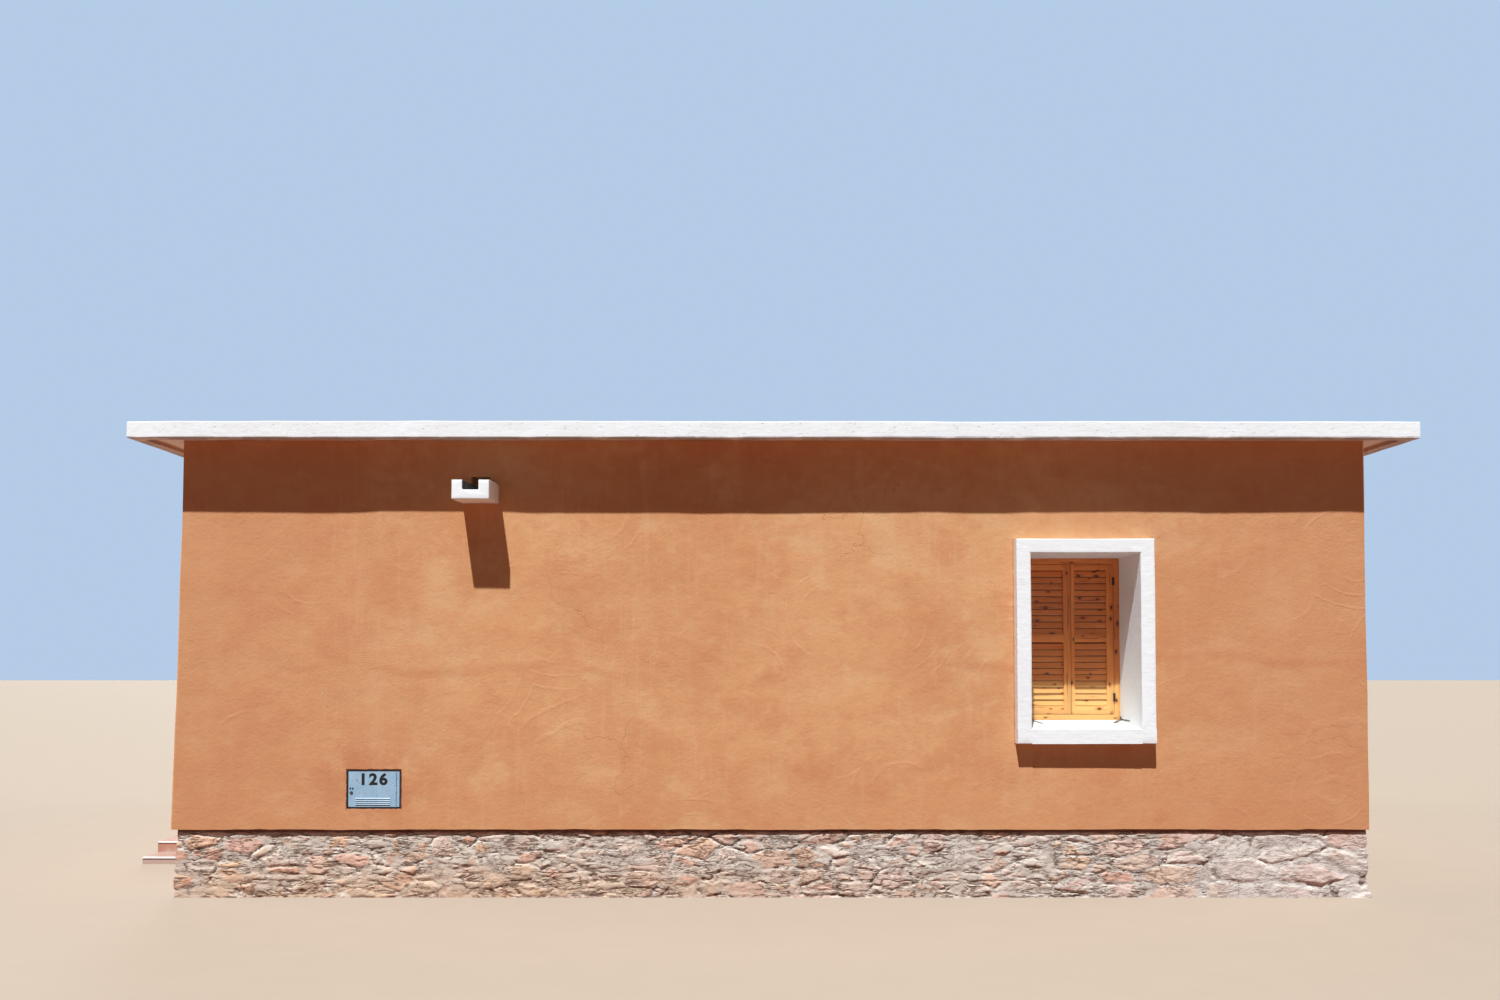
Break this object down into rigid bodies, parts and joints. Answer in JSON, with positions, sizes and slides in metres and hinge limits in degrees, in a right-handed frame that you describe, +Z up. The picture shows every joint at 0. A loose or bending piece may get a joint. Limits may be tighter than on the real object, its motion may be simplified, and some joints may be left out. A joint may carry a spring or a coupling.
{
  "type": "rammed earth house",
  "caption": "Flat-roofed earth house with ochre render, rubble plinth, white coping, rain spout, louvred shutters in a white surround, and a steel meter door.",
  "frame": {"origin": "centre of the plan at the lowest ground, on the underside of the floor fill", "axes": "+X along the long walls, to the right of someone facing the front wall; +Y from the front wall to the back wall; +Z up"},
  "size_m": [9.327, 6.147, 3.235],
  "materials": {
    "earth_render": "matt trowelled earth render",
    "rubble_stone": "rough rubble in mortar",
    "white_concrete": "rough concrete under white paint",
    "concrete": "plain concrete",
    "earth_fill": "rammed fill",
    "terracotta": "matt terracotta",
    "white_trim": "matt white",
    "pine": "satin varnish",
    "door_wood": "satin varnish",
    "black_iron": "satin black",
    "blue_steel": "satin paint",
    "lock_steel": "dull"
  },
  "bodies": {
    "house": {"plinth_front": "rubble_stone", "plinth_back": "rubble_stone", "plinth_right": "rubble_stone", "plinth_left_front": "rubble_stone", "plinth_left_back": "rubble_stone", "plinth_under_door": "rubble_stone", "floor_fill": "earth_fill", "floor_slab": "concrete", "front_wall": "earth_render", "back_wall": "earth_render", "right_wall": "earth_render", "left_wall_front": "earth_render", "left_wall_back": "earth_render", "left_wall_over_door": "earth_render", "roof_deck": "concrete", "roof_screed": "concrete", "parapet_front": "earth_render", "parapet_back": "earth_render", "parapet_left": "earth_render", "parapet_right": "earth_render", "coping_front": "white_concrete", "coping_back": "white_concrete", "coping_left": "white_concrete", "coping_right": "white_concrete", "rain_spout": "white_concrete", "window_surround": "white_concrete", "window_sill": "white_concrete", "shutter_frame": "pine", "shutter_left_leaf": "pine", "shutter_left_slats": "pine", "shutter_right_leaf": "pine", "shutter_right_slats": "pine", "shutter_hinges": "black_iron", "meter_box": "blue_steel", "meter_hinge": "blue_steel", "door_surround": "white_concrete", "door_threshold": "white_concrete", "door_frame": "door_wood", "entrance_door": "door_wood", "door_handle": "black_iron", "entrance_steps": "terracotta", "step_nosings": "white_trim"},
    "meter_door_leaf": {"meter_door": "blue_steel", "meter_lock": "lock_steel"}
  },
  "joints": [
    {"name": "meter_door_hinge", "type": "hinge", "parent": "house", "child": "meter_door_leaf", "pos_m": [-2.587, -2.8045, 0.741], "axis": [0, 0, 1], "range_deg": [0, 110]}
  ]
}
